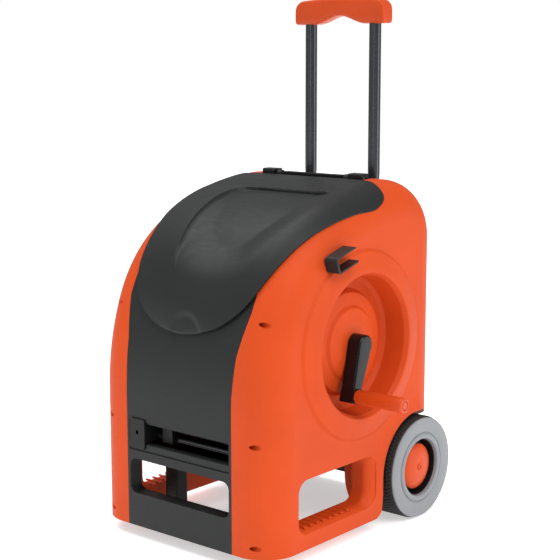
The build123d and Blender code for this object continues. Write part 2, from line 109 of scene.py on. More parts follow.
def length(name, description, default):
    """A length setting, in metres."""
    return FloatProperty(name=name, description=description, default=default, unit="LENGTH",
                         precision=5, min=0.0)


class CartColours(PropertyGroup):
    """Colours of the cart's finishes."""
    shell: colour("Side shells", "Orange of the moulded side shells", (0.56, 0.060, 0.008))
    dark: colour("Dark panels", "Grey of the lid and the front and back panels", (0.0110, 0.0120, 0.0120))
    wheel: colour("Wheel discs", "Grey of the wheel discs", (0.22, 0.232, 0.245))
    rubber: colour("Tyres", "Black of the tyres and feet", (0.012, 0.012, 0.012))


class LidShape(PropertyGroup):
    """Sizes of the domed lid."""
    wall: length("Wall", "Thickness of the lid", 3 * MM)
    rim: length("Rim", "Height of the upright rim above the case", 3 * MM)
    gap: length("Shadow gap", "Space left between the rim and the case", 2.2 * MM)
    scoop: length("Leaf depth", "Depth of the leaf-shaped hollow in the dome", 19 * MM)
    thumb: length("Thumb mark", "Depth of the thumb mark at the tip", 3.5 * MM)


class WheelShape(PropertyGroup):
    """Sizes of the wheels."""
    lugs: IntProperty(name="Tread lugs", description="Lugs round one tyre", default=80, min=12)
    tread: length("Tread depth", "Depth of the grooves between lugs", 1.6 * MM)
    lip: length("Inner lip", "Radius of the disc's inner lip", 50 * MM)
    cap: length("Cap", "Radius of the hub cap", 40 * MM)


class StageSettings(PropertyGroup):
    """Camera and lights."""
    ambient: FloatProperty(name="Ambient", description="Brightness of the surrounding white", default=0.36)
    lens: FloatProperty(name="Lens", description="Focal length on a 36 mm wide sensor", default=85.73,
                        unit="CAMERA")
    azimuth: FloatProperty(name="Azimuth", description="Camera's turn about the upright axis",
                           default=radians(39.75), subtype="ANGLE")
    pitch: FloatProperty(name="Pitch", description="How far the camera looks down",
                         default=radians(9.25), subtype="ANGLE")
    eye: FloatVectorProperty(name="Eye", description="Place of the camera",
                             default=(MID_X + 1.45586, HUB[0] - 1.72798, 0.78737),
                             subtype="TRANSLATION", unit="LENGTH")


# ---- mesh helpers ----
def grid_faces(rows, cols, wrap_rows=False, wrap_cols=True):
    """Quads that join neighbours of a rows-by-cols grid, numbered row by row."""
    r = np.arange(rows if wrap_rows else rows - 1)[:, None]
    c = np.arange(cols if wrap_cols else cols - 1)[None, :]
    r2, c2 = (r + 1) % rows, (c + 1) % cols
    quads = np.stack([r * cols + c, r * cols + c2, r2 * cols + c2, r2 * cols + c], axis=-1)
    return quads.reshape(-1, 4)


def mesh_from(name, points, quads):
    """A mesh from an (n, 3) array and an (m, 4) array, with poles merged and faces outwards."""
    mesh = bpy.data.meshes.new(name)
    mesh.vertices.add(len(points))
    mesh.vertices.foreach_set("co", np.ascontiguousarray(points, np.float32).ravel())
    mesh.loops.add(quads.size)
    mesh.loops.foreach_set("vertex_index", np.ascontiguousarray(quads, np.int32).ravel())
    mesh.polygons.add(len(quads))
    mesh.polygons.foreach_set("loop_start", np.arange(len(quads), dtype=np.int32) * 4)
    mesh.update(calc_edges=True)
    tidy(mesh)
    return mesh


def tidy(mesh, recalc=True):
    """Merge doubles, and turn every face of a closed mesh outwards."""
    bm = bmesh.new()
    bm.from_mesh(mesh)
    bmesh.ops.remove_doubles(bm, verts=bm.verts, dist=2e-6)
    if recalc:
        bmesh.ops.recalc_face_normals(bm, faces=bm.faces)
    bm.to_mesh(mesh)
    bm.free()
    mesh.validate()


def piece(name, mesh, material, body, replaces=(), angle=32.0):
    """A finished object that rides on a body and stands for CAD nodes."""
    mesh.materials.clear()
    mesh.materials.append(material)
    mesh.shade_smooth()
    mesh.set_sharp_from_angle(angle=radians(angle))
    obj = bpy.data.objects.new(name, mesh)
    bpy.context.scene.collection.objects.link(obj)
    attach(obj, body)
    if replaces:
        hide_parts(*replaces)
    return obj


def soften(obj, width, segments=3, angle=40.0):
    """Round an object's hard edges by a small radius."""
    bevel = obj.modifiers.new("edge_round", "BEVEL")
    bevel.width = width
    bevel.segments = segments
    bevel.limit_method = "ANGLE"
    bevel.angle_limit = radians(angle)
    bevel.use_clamp_overlap = True
    bevel.harden_normals = False
    return obj


def turned_x(profile, axis, turns=96):
    """Closed (radius, x) profile turned about the X line through axis = (y, z).

    point(i, a) = (x_i, y + radius_i cos a, z + radius_i sin a).
    """
    profile = np.asarray(profile, float)
    a = np.linspace(0, 2 * pi, turns, endpoint=False)
    r, x = profile[:, :1], profile[:, 1:]
    points = np.stack([x + 0 * a, axis[0] + r * np.cos(a), axis[1] + r * np.sin(a)], axis=-1)
    return points.reshape(-1, 3), grid_faces(len(profile), turns, wrap_rows=True)


def smooth_line(points, samples):
    """Chord-length Catmull-Rom curve through points: each span is the cubic whose end
    slopes are those of the chords either side."""
    p = np.asarray(points, float)
    d = np.r_[0, np.cumsum(np.hypot(*np.diff(p, axis=0).T))]
    slope = np.gradient(p, d, axis=0)
    t = np.linspace(0, d[-1], samples)
    k = np.clip(np.searchsorted(d, t, side="right") - 1, 0, len(d) - 2)
    h = (d[k + 1] - d[k])[:, None]
    u = ((t - d[k])[:, None]) / h
    return ((2 * u**3 - 3 * u**2 + 1) * p[k] + (u**3 - 2 * u**2 + u) * h * slope[k]
            + (3 * u**2 - 2 * u**3) * p[k + 1] + (u**3 - u**2) * h * slope[k + 1])


def step01(x):
    """Smooth step from 0 to 1: 3x^2 - 2x^3."""
    x = np.clip(x, 0, 1)
    return x * x * (3 - 2 * x)


def smooth_copy(node, name, width=0.0, angle=32.0, flat=1.0):
    """A merged copy of a CAD node with its flats made whole and its edges rounded."""
    source, slot = frame["nodes"][node], SLOT_OF[node]
    mesh = source.data.copy()
    mesh.name = name
    bm = bmesh.new()
    bm.from_mesh(mesh)
    bmesh.ops.remove_doubles(bm, verts=bm.verts, dist=1e-5)
    bmesh.ops.dissolve_limit(bm, angle_limit=radians(flat), verts=bm.verts, edges=bm.edges)
    bm.to_mesh(mesh)
    bm.free()
    obj = piece(name, mesh, MATERIALS[slot], source["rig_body"], (node,), angle)
    if width:
        soften(obj, width)
    return obj


# ---- materials ----
class Tree:
    """A material's node tree, with a Principled shader and Object coordinates."""

    def __init__(self, name):
        self.material = bpy.data.materials.new(name + "_finish")
        self.material.use_nodes = True
        self.tree = self.material.node_tree
        self.shader = self.tree.nodes["Principled BSDF"]
        self.place = self.add("ShaderNodeTexCoord").outputs["Object"]

    def add(self, kind, **values):
        """A node, with its attributes and its input sockets set by name."""
        node = self.tree.nodes.new(kind)
        for key, value in values.items():
            if hasattr(node, key):
                setattr(node, key, value)
            else:
                node.inputs[key.replace("_", " ").title()].default_value = value
        return node

    def link(self, source, target):
        """Join an output to an input."""
        self.tree.links.new(source, target)

    def noise(self, scale, detail=3.0, stretch=None, roughness=0.55):
        """Noise on Object coordinates; stretch squeezes it along each axis."""
        noise = self.add("ShaderNodeTexNoise", Scale=scale, Detail=detail, Roughness=roughness)
        source = self.place
        if stretch:
            mapping = self.add("ShaderNodeMapping")
            mapping.inputs["Scale"].default_value = stretch
            self.link(source, mapping.inputs["Vector"])
            source = mapping.outputs["Vector"]
        self.link(source, noise.inputs["Vector"])
        return noise.outputs["Fac"]

    def span(self, value, low, high, to_low, to_high):
        """Map a value from one range to another, held at both ends."""
        node = self.add("ShaderNodeMapRange")
        ends = (("From Min", low), ("From Max", high), ("To Min", to_low), ("To Max", to_high))
        for key, number in ends:
            node.inputs[key].default_value = number
        self.link(value, node.inputs["Value"])
        return node.outputs["Result"]

    def mix(self, factor, a, b):
        """Mix two colours, each a plain colour or a socket."""
        node = self.tree.nodes.new("ShaderNodeMix")
        node.data_type = "RGBA"
        self.link(factor, node.inputs["Factor"])
        for key, value in ((6, a), (7, b)):
            if isinstance(value, bpy.types.NodeSocket):
                self.link(value, node.inputs[key])
            else:
                node.inputs[key].default_value = (*value, 1.0)
        return node.outputs[2]

    def bump(self, height, strength, distance, normal=None):
        """Bump from a height value."""
        node = self.add("ShaderNodeBump")
        node.inputs["Strength"].default_value = strength
        node.inputs["Distance"].default_value = distance
        self.link(height, node.inputs["Height"])
        if normal:
            self.link(normal, node.inputs["Normal"])
        return node.outputs["Normal"]


def drawn(name, rgb, roughness, coat, metal):
    """Drawn or plated bar: faint lines along its length, a clear coat and slow drift."""
    t = Tree(name)
    lines = t.noise(300.0, 1.0, (1.0, 1.0, 0.004))
    base = t.mix(t.span(lines, 0.3, 0.7, 0.0, 1.0), tint(rgb, 0.97), tint(rgb, 1.03))
    t.link(base, t.shader.inputs["Base Color"])
    t.link(t.span(lines, 0.3, 0.7, roughness - 0.02, roughness + 0.02), t.shader.inputs["Roughness"])
    t.link(t.bump(lines, 0.1, 0.000004), t.shader.inputs["Normal"])
    t.shader.inputs["Metallic"].default_value = metal
    t.shader.inputs["Coat Weight"].default_value = coat
    t.shader.inputs["Coat Roughness"].default_value = 0.1
    return t.material


def tint(rgb, factor):
    """A colour made lighter or darker."""
    return tuple(min(1.0, c * factor) for c in rgb)


def moulded(name, rgb, roughness, grain=1500.0, depth=0.00006, patch=0.06, pale_edge=0.25, coat=0.0, metal=0.0,
            shine=0.4):
    """Moulded plastic or plain metal: slow colour drift, fine grain, scuffed gloss, pale edges."""
    t = Tree(name)
    drift = t.span(t.noise(7.0), 0.3, 0.7, 0.0, 1.0)
    base = t.mix(drift, tint(rgb, 1 - patch), tint(rgb, 1 + patch))
    # Colour made lighter towards convex edges, read from Pointiness.
    edge = t.span(t.add("ShaderNodeNewGeometry").outputs["Pointiness"], 0.53, 0.62, 0.0, pale_edge)
    base = t.mix(edge, base, tuple(0.5 * c + 0.5 * max(rgb) for c in tint(rgb, 1.15)))
    t.link(base, t.shader.inputs["Base Color"])
    scuff = t.noise(60.0, 4.0, (1.0, 1.0, 6.0))
    t.link(t.span(scuff, 0.25, 0.8, roughness - 0.06, roughness + 0.1), t.shader.inputs["Roughness"])
    t.link(t.bump(t.noise(grain, 2.0), 0.5, depth), t.shader.inputs["Normal"])
    t.shader.inputs["Metallic"].default_value = metal
    t.shader.inputs["Specular IOR Level"].default_value = shine
    if coat:
        t.shader.inputs["Coat Weight"].default_value = coat
        t.shader.inputs["Coat Roughness"].default_value = 0.08
    return t.material


MATERIALS = {}


def make_materials(c):
    """All finishes, one for each material slot."""
    shell, dark, wheel, rubber = tuple(c.shell), tuple(c.dark), tuple(c.wheel), tuple(c.rubber)
    MATERIALS.update({
        "orange_shell": moulded("orange_shell", shell, 0.52, pale_edge=0.0, shine=0.16),
        "orange_trim": moulded("orange_trim", tint(shell, 1.0), 0.36, pale_edge=0.2, shine=0.2),
        "dark_shell": moulded("dark_shell", dark, 0.48, grain=1100.0, depth=0.00006, pale_edge=0.15, shine=0.27),
        "black_plastic": moulded("black_plastic", tint(dark, 0.4), 0.42, pale_edge=0.12, shine=0.25),
        "crank_gloss": moulded("crank_gloss", (0.005, 0.005, 0.006), 0.2, depth=0.00001, pale_edge=0.0,
                               coat=0.1, shine=0.2),
        "drum_plastic": moulded("drum_plastic", tint(dark, 0.5), 0.5, shine=0.3),
        "steel": drawn("steel", (0.55, 0.55, 0.56), 0.28, 0.0, 1.0),
        "dark_tube": drawn("dark_tube", (0.05, 0.052, 0.058), 0.24, 0.2, 0.7),
        "tyre": moulded("tyre", rubber, 0.7, grain=600.0, depth=0.0002, pale_edge=0.1),
        "wheel_grey": moulded("wheel_grey", wheel, 0.38, pale_edge=0.35, shine=0.35),
        "foot_rubber": moulded("foot_rubber", rubber, 0.8, grain=600.0, depth=0.0002),
        "brass": moulded("brass", (0.62, 0.40, 0.13), 0.25, metal=1.0),
    })


# ---- operators ----
class CartOperator:
    """What the cart's operators share."""
    bl_options = {"REGISTER", "UNDO"}


class CART_OT_finishes(CartOperator, Operator):
    """Make the finishes, and give each CAD node the one of its slot"""
    bl_idname = "cart.finishes"
    bl_label = "Finishes"

    def execute(self, context):
        make_materials(context.scene.cart_colours)
        for name, node in frame["nodes"].items():
            node.data.materials[0] = MATERIALS[SLOT_OF[name]]
        return {"FINISHED"}


# ribs on the carry windows' sills: first rib's Y, pitch, count, inner and outer X, in the
# case's own axes
SILL_RIBS = (-0.136, 0.016, 9, 0.1585, 0.1885)
SILL_Z = 0.056
RIB_HALF, RIB_HIGH = 0.0025, 0.0024


def rib_points(y, x0, x1, z):
    """Half capsule lying along X: circle sections whose radius closes over both ends by
    sqrt(1 - e^2), cut flat a little under the sill's face."""
    length = np.linspace(-1, 1, 25)
    x = (x0 + x1) / 2 + length * (x1 - x0) / 2
    e = np.clip((np.abs(length) * (x1 - x0) / 2 - ((x1 - x0) / 2 - RIB_HALF)) / RIB_HALF, 0, 1)
    scale = np.sqrt(1 - e**2 * 0.9999)[:, None]
    a = np.linspace(0, 2 * pi, 24, endpoint=False)
    up = np.maximum(np.sin(a), -0.15)
    ys, zs = y + RIB_HALF * scale * np.cos(a), z + RIB_HIGH * scale * up
    pts = np.stack([x[:, None] + 0 * a, ys, zs], axis=-1)
    return pts.reshape(-1, 3), grid_faces(len(x), len(a))


class CART_OT_ribs(CartOperator, Operator):
    """Ribs across the sill of each carry window"""
    bl_idname = "cart.ribs"
    bl_label = "Sill ribs"

    def execute(self, context):
        first, pitch, count, x0, x1 = SILL_RIBS
        for side, sign in (("right", 1), ("left", -1)):
            points, quads = [], []
            for i in range(count):
                y = HINGE[0] - 0.1355 + first + i * pitch
                ends = sorted((MID_X + sign * x0, MID_X + sign * x1))
                p, q = rib_points(y, *ends, SILL_Z)
                quads.append(np.asarray(q) + sum(len(part) for part in points))
                points.append(p)
            mesh = mesh_from(f"sill_ribs_{side}", np.concatenate(points), np.concatenate(quads))
            piece(f"sill_ribs_{side}", mesh, MATERIALS["orange_shell"], "case")
        return {"FINISHED"}


# Sizes below are millimetres in the case's own axes: X from its middle plane, Y and Z as
# in the side view. s runs up a plane tilted 45 degrees, t stands square to that plane.
SIDE_HALF, SIDE_ROUND = 193.5, 60.0
PROFILE_START = (-215.5, 248.0)
PROFILE_ARCS = ((432.0, 21.8), (247.0, 40.8), (497.0, 25.5), (102.0, 91.9))
CROWN = ((-213, 345), (-198, 427), (-153, 505), (-66, 559), (34, 577), (126, 568))
OUTLINE_RIGHT = ((34, 113.5), (72, 124), (106, 146), (126, 169), (143, 206), (157, 253), (167, 300),
                 (175, 345), (182, 392), (187, 440), (178, 472), (153, 491), (120, 500), (60, 501))
OUTLINE_LEFT = ((-32, 111.5), (-70, 123), (-102, 145), (-117, 166), (-131, 203), (-139, 250), (-147, 298),
                (-158, 345), (-170, 392), (-181, 440), (-178, 472), (-153, 491), (-120, 500), (-60, 501))
LEAF = ((128, 427), (84, 427), (40, 427), (-5, 427), (-42, 426), (-62, 419), (-70, 400), (-70, 375),
        (-67, 345), (-63, 312), (-55, 269), (-45, 225), (-36, 200), (-18, 181), (9, 173), (40, 172),
        (66, 179), (96, 200), (115, 234), (129, 280), (139, 318), (144, 364), (141, 405))
LEAF_MIDDLE = (38.0, 310.0)
SHIFT = np.array((MID_X, HINGE[0] - 0.1355, 0.0))
TURN_STEPS = 288
DOME_POWER = 1.1
LEAF_REAR_DEPTH, LEAF_REAR_S, LEAF_RUN, LEAF_GAIN = 8.0, 430.0, 220.0, 0.05
UNDER_LEAF = 14.0


def closed(points):
    """Dense smooth loop through points."""
    wrapped = np.array([*points[-3:], *points, *points[:3]], float)
    return smooth_line(wrapped, 900)


def polar_radius(loop, middle, angles):
    """Distance from the middle out to a closed loop, in each direction."""
    p = np.asarray(loop, float) - middle
    a = np.arctan2(p[:, 1], p[:, 0]) % (2 * pi)
    order = np.argsort(a)
    a, r = a[order], np.hypot(*p.T)[order]
    return np.interp(np.asarray(angles) % (2 * pi), np.r_[a - 2 * pi, a, a + 2 * pi], np.r_[r, r, r])


LID_LOOP = closed([(0, 110), *OUTLINE_RIGHT, (0, 501), *OUTLINE_LEFT[::-1]])
LEAF_LOOP = closed(LEAF)


def case_profile():
    """Side view of the case's skin and its inward normal, sampled along straight front
    and tangent arcs: each arc's point is centre - radius * normal."""
    low = np.linspace((PROFILE_START[0], 60.0), PROFILE_START, 60)
    points, normals, turn = [low], [np.tile((1.0, 0.0), (60, 1))], 0.0
    for radius, degrees in PROFILE_ARCS:
        a = np.linspace(turn, turn + radians(degrees), 160)
        n = np.stack([np.cos(a), -np.sin(a)], axis=-1)
        points.append(points[-1][-1] + radius * (n[0] - n))
        normals.append(n)
        turn = a[-1]
    return np.concatenate(points), np.concatenate(normals)


def slope_frame(points):
    """(s, t) of (y, z) points."""
    return (points[:, 0] + points[:, 1]) / sqrt(2), (points[:, 1] - points[:, 0]) / sqrt(2)


def case_height(x, s):
    """t of the case's skin over (x, s): the profile is moved in by r - sqrt(r^2 - d^2)
    where d is the distance into the rounded side edge, and read off a table."""
    points, normals = case_profile()
    insets = np.arange(0.0, 60.0, 1.0)
    ruler = np.arange(60.0, 600.0, 1.0)
    table = np.array([np.interp(ruler, *slope_frame(points + i * normals)) for i in insets])
    into = np.clip(np.abs(x) - (SIDE_HALF - SIDE_ROUND), 0, SIDE_ROUND - 1.5)
    i = SIDE_ROUND - np.sqrt(SIDE_ROUND**2 - into**2)
    j = np.clip(s - ruler[0], 0, len(ruler) - 1.01)
    i0, j0 = i.astype(int), j.astype(int)
    fi, fj = i - i0, j - j0
    near = table[i0, j0] * (1 - fj) + table[i0, j0 + 1] * fj
    far = table[i0 + 1, j0] * (1 - fj) + table[i0 + 1, j0 + 1] * fj
    return near * (1 - fi) + far * fi


def half_width(x, s):
    """Distance from the middle plane to the lid's outline at height s, on the side of x."""
    sides = []
    for points in (OUTLINE_RIGHT, OUTLINE_LEFT):
        line = smooth_line(np.array([(0, 110), *points], float), 400)
        sides.append(np.interp(s, line[:, 1], np.abs(line[:, 0])))
    return np.where(x > 0, *sides)


def dome_height(x, s, shape):
    """t of the lid's outer face: case skin + lift + crown height * (1 - u^2)^1.1, where u
    is the share of the way from the middle plane to the outline. The lift is the gap and
    rim, thinner at the rear and thicker at the tip."""
    crown = smooth_line(CROWN, 300)
    line_s, line_t = slope_frame(crown)
    share = 0.3 + 0.7 * step01((505 - s) / 160) + 0.7 * step01((200 - s) / 90)
    lift = (shape.gap + shape.rim) / MM * share
    high = np.clip(np.interp(s, line_s, line_t) - case_height(0 * s, s) - lift, 0, None)
    u = np.clip(np.abs(x) / np.maximum(half_width(x, s), 1), 0, 1)
    thumb = np.clip(1 - ((x - 12) / 34) ** 2 - ((s - 108) / 30) ** 2, 0, 1)
    dent = shape.thumb / MM * step01(2.6 * thumb)
    return case_height(x, s) + lift + high * (1 - u**2) ** DOME_POWER - dent


def leaf_hollow(x, s, shape):
    """Depth of the leaf-shaped hollow. With w the share of the way in from its edge, it is
    a step and 1 - (1 - w)^2 behind the sharp upper and left edges, and a smooth step
    elsewhere. The depth is held to 8 mm at the rear and 19 mm at the front."""
    ang = np.arctan2(s - LEAF_MIDDLE[1], x - LEAF_MIDDLE[0])
    w = 1 - np.hypot(x - LEAF_MIDDLE[0], s - LEAF_MIDDLE[1]) / polar_radius(LEAF_LOOP, LEAF_MIDDLE, ang)
    w = np.clip(w, 0, 1)
    turn = (ang - radians(50)) % (2 * pi)
    crisp = step01(turn / 0.25) * step01((radians(190) - turn) / 0.5)
    sharp = 0.3 * step01(w / 0.03) + 0.7 * (1 - (1 - w) ** 2)
    deep = shape.scoop / MM * (crisp * sharp + (1 - crisp) * step01(1.3 * w))
    return np.minimum(deep, LEAF_REAR_DEPTH + LEAF_GAIN * np.clip(LEAF_REAR_S - s, 0, LEAF_RUN))


def lid_points(shape):
    """Closed lid: rings run out from the leaf's middle to its edge, on to the outline,
    down the rim, and back in along the under side."""
    a = np.linspace(0, 2 * pi, TURN_STEPS, endpoint=False)
    leaf_r = polar_radius(LEAF_LOOP, LEAF_MIDDLE, a)
    edge_r = polar_radius(LID_LOOP, LEAF_MIDDLE, a)
    inside = np.r_[np.linspace(0, 0.95, 22), 0.98, 0.992][:, None] * leaf_r
    share = np.sin(pi / 2 * np.linspace(0, 1, 34))[:, None]
    outside = leaf_r + (edge_r - leaf_r) * share
    outer_r = np.concatenate([inside, outside])
    under_r = (outer_r * (1 - shape.wall / MM / edge_r))[::-1][::2]
    rim_r = edge_r - np.array([0.0, 0.0, 0.4, 2.6])[:, None]
    r = np.concatenate([outer_r, rim_r, under_r])
    x, s = LEAF_MIDDLE[0] + r * np.cos(a), LEAF_MIDDLE[1] + r * np.sin(a)
    t = dome_height(x, s, shape) - leaf_hollow(x, s, shape)
    n, wall, rim = len(outer_r), shape.wall / MM, shape.rim / MM
    floor = case_height(x, s) + shape.gap / MM + 2.5 * step01((200 - s) / 90)
    drop = np.array([0.5, rim - 0.6, rim, rim])[:, None]
    t[n:n + 4] = np.maximum(t[n:n + 4] - drop, floor[n:n + 4])
    t[n - 1] -= 0.1
    source = outer_r[::-1][::2]
    xo, so = LEAF_MIDDLE[0] + source * np.cos(a), LEAF_MIDDLE[1] + source * np.sin(a)
    lowest = np.where(source < leaf_r - 2, floor[n + 4:] - UNDER_LEAF, floor[n + 4:])
    t[n + 4:] = np.maximum(dome_height(xo, so, shape) - leaf_hollow(xo, so, shape) - wall, lowest)
    pts = np.stack([x, (s - t) / sqrt(2), (s + t) / sqrt(2)], axis=-1) * MM + SHIFT
    return pts.reshape(-1, 3), grid_faces(len(r), TURN_STEPS)


class CART_OT_lid(CartOperator, Operator):
    """Domed lid with its leaf-shaped hollow, rim and thumb mark"""
    bl_idname = "cart.lid"
    bl_label = "Lid"

    def execute(self, context):
        mesh = mesh_from("lid_dome", *lid_points(context.scene.cart_lid))
        piece("lid_dome", mesh, MATERIALS["dark_shell"], "lid", ("lid",), 50.0)
        for side in ("left", "right"):
            smooth_copy(f"lid_knuckle_{side}", f"knuckle_{side}_moulding", 0.0006)
        return {"FINISHED"}


def tyre_points(shape, face, back, axis, side):
    """Tyre with lugs: a rounded band profile (radius, x) turned about the axle, whose
    radius drops by the tread depth between lugs. Rows of lugs are staggered by half a pitch."""
    inner, outer = 0.074, 0.090
    tread_x = np.linspace(back + 0.006, face - 0.006, 26)
    flank = [(inner, back), (0.086, back), (0.0885, back + 0.002)]
    flank_out = [(0.0885, face - 0.002), (0.086, face), (inner, face)]
    r = np.r_[[p[0] for p in flank], np.full(26, outer), [p[0] for p in flank_out]]
    x = np.r_[[p[1] for p in flank], tread_x, [p[1] for p in flank_out]]
    cols = shape.lugs * 6
    a = np.arange(cols) * 2 * pi / cols
    row = np.r_[[-1] * 3, np.arange(26) // 5, [-1] * 3]
    seam = np.r_[[0] * 3, (np.arange(26) % 5 == 4), [0] * 3]
    phase = ((np.arange(cols)[None, :] + 3 * (row[:, None] % 2)) % 6)
    cut = ((phase < 2) | (seam[:, None] > 0)) & (row[:, None] >= 0)
    radius = r[:, None] - shape.tread * cut
    xs = MID_X + side * (x[:, None] + 0 * a)
    pts = np.stack([xs, axis[0] + radius * np.cos(a), axis[1] + radius * np.sin(a)], axis=-1)
    return pts.reshape(-1, 3), grid_faces(len(r), cols, wrap_rows=True)


class CART_OT_wheels(CartOperator, Operator):
    """Tyres with lugs, grey discs and domed hub caps"""
    bl_idname = "cart.wheels"
    bl_label = "Wheels"

    def execute(self, context):
        shape = context.scene.cart_wheels
        face, back = DISC_FACE - MID_X, TYRE_LOW.x - MID_X
        lip, cap = shape.lip, shape.cap
        disc = np.array([(0.0869, face - 4e-3), (0.0878, face - 2e-3), (0.0869, face - 5e-4), (0.085, face),
                         (0.066, face - 1.0e-3), (0.0625, face - 1.8e-3), (0.0612, face - 3.2e-3),
                         (0.0602, face - 3.2e-3), (0.0592, face - 1.4e-3), (0.0565, face - 2e-4),
                         (0.053, face - 2e-4), (lip + 1e-3, face - 1.4e-3), (lip, face - 4e-3),
                         (lip - 1.5e-3, face - 0.026), (0.009, face - 0.026), (0.009, back + 6e-3),
                         (0.015, back + 6e-3), (0.015, back + 0.03), (0.070, back + 0.03),
                         (0.070, back + 2e-3), (0.0745, back + 2e-3), (0.0745, face - 4e-3)])
        dome = np.array([(0, face - 4.6e-3), (0.0032, face - 4.6e-3), (0.004, face - 3e-3),
                         (0.0052, face - 3e-3), (0.006, face - 4.8e-3), (0.012, face - 4.4e-3),
                         (0.024, face - 5.8e-3), (0.033, face - 8.4e-3),
                         (0.0385, face - 0.011), (cap, face - 0.0128), (cap - 4e-4, face - 0.0142),
                         (cap - 0.0025, face - 0.0152), (cap - 0.0025, face - 0.026), (0, face - 0.026)])
        # Black liner over the walls of each disc's deep recess, between lip and cap: it stands for the dark
        # inner hub and also paints the shade of the recess dark.
        hub_and_shade_liner = np.array([(cap - 2e-3, face - 0.0255), (cap - 2e-3, face - 0.0245),
                          (lip - 4e-3, face - 0.0245), (lip - 1.6e-3, face - 0.0065),
                          (lip - 0.9e-3, face - 0.0065), (lip - 0.9e-3, face - 0.0255)])
        for side, sign in (("right", 1), ("left", -1)):
            body = f"wheel_{side}"
            # The black liner piece: the dark inner hub, with painted shade in the recess.
            mesh = mesh_from(f"wheel_recess_hub_and_shade_{side}", *turned_x(hub_and_shade_liner * (1, sign) + (0, MID_X), AXLE, 128))
            piece(f"wheel_recess_hub_and_shade_{side}", mesh, MATERIALS["black_plastic"], body)
            mesh = mesh_from(f"tyre_{side}_lugs", *tyre_points(shape, face - 0.003, back, AXLE, sign))
            piece(f"tyre_{side}_lugs", mesh, MATERIALS["tyre"], body, (f"tyre_{side}",), 25.0)
            for name, profile, node, slot in (("face", disc, "wheel_disc", "wheel_grey"),
                                              ("dome", dome, "wheel_cap", "orange_trim")):
                outline = profile * (1, sign) + (0, MID_X)
                mesh = mesh_from(f"{node}_{side}_{name}", *turned_x(outline, AXLE, 128))
                piece(f"{node}_{side}_{name}", mesh, MATERIALS[slot], body, (f"{node}_{side}",))
        return {"FINISHED"}


class CART_OT_handle(CartOperator, Operator):
    """Arched grip, tubes and collars of the pull handle"""
    bl_idname = "cart.handle"
    bl_label = "Pull handle"

    def execute(self, context):
        for side in ("left", "right"):
            smooth_copy(f"handle_tube_{side}", f"tube_{side}_drawn")
            smooth_copy(f"sleeve_collar_{side}", f"collar_{side}_moulding", 0.0006)
        grip = mesh_from("grip_moulding", *grip_points())
        piece("grip_moulding", grip, MATERIALS["orange_trim"], "handle",
              ("handle_grip",), 40.0)
        return {"FINISHED"}


def grip_points():
    """Grip: superellipse sections across a line of stations along X. Its underside is a
    cosine arch, its top a shallow crown, and both ends close over a quarter round."""
    half = (GRIP_HIGH.x - GRIP_LOW.x) / 2
    mid_x, mid_y = (GRIP_HIGH.x + GRIP_LOW.x) / 2, (GRIP_HIGH.y + GRIP_LOW.y) / 2
    depth = (GRIP_HIGH.y - GRIP_LOW.y) / 2
    end = np.sin(np.linspace(-pi / 2, pi / 2, 65))
    x = end * half
    reach = 0.056
    arch = 0.014 * 0.5 * (1 + np.cos(pi * np.clip(x / reach, -1, 1)))
    low = GRIP_LOW.z + arch
    high = GRIP_HIGH.z - 0.005 * np.abs(x / half) ** 2
    corner = np.clip((np.abs(x) - (half - 0.016)) / 0.016, 0, 1)
    high = high - 0.016 * (1 - np.sqrt(1 - corner**2 * 0.999))
    tuck = np.clip((np.abs(x) - (half - 0.004)) / 0.004, 0, 1)
    shrink = np.sqrt(1 - tuck**2)
    a = np.linspace(0, 2 * pi, 48, endpoint=False)
    n = 2 / 5.0
    cy, cz = np.sign(np.cos(a)) * np.abs(np.cos(a)) ** n, np.sign(np.sin(a)) * np.abs(np.sin(a)) ** n
    d = (depth - 0.004 + 0.004 * shrink)[:, None] * np.where(shrink[:, None] > 0.01, 1, 0)
    rounded = np.where(shrink[:, None] > 0.01, 1 - 0.12 * (1 - shrink[:, None]), 0)
    h = ((high - low) / 2)[:, None] * rounded
    middle = ((high + low) / 2)[:, None]
    pts = np.stack([mid_x + x[:, None] + 0 * a, mid_y + d * cy, middle + h * cz], axis=-1)
    return pts.reshape(-1, 3), grid_faces(len(x), len(a))


class CART_OT_crank(CartOperator, Operator):
    """Crank arm, boss, turning knob and its end ring"""
    bl_idname = "cart.crank"
    bl_label = "Crank"

    def execute(self, context):
        smooth_copy("crank_arm", "crank_arm_moulding", 0.0045)
        r = (KNOB_HIGH.z - KNOB_LOW.z) / 2
        axis = ((KNOB_HIGH.y + KNOB_LOW.y) / 2, (KNOB_HIGH.z + KNOB_LOW.z) / 2)
        x0, x1 = KNOB_LOW.x, KNOB_HIGH.x
        knob = [(0, x0), (r - 0.003, x0), (r - 0.001, x0 + 0.001), (r - 0.0004, x0 + 0.004), (r, x1 - 0.02),
                (r, x1 - 0.004), (r - 0.0008, x1 - 0.0012), (r - 0.0025, x1), (r - 0.0045, x1),
                (r - 0.005, x1 - 0.0015), (r - 0.0058, x1 - 0.0015), (r - 0.0063, x1 - 0.0002),
                (0, x1 - 0.0002)]
        mesh = mesh_from("knob_turned", *turned_x(knob, axis, 72))
        piece("knob_turned", mesh, MATERIALS["orange_trim"], "knob", ("crank_knob",))
        return {"FINISHED"}


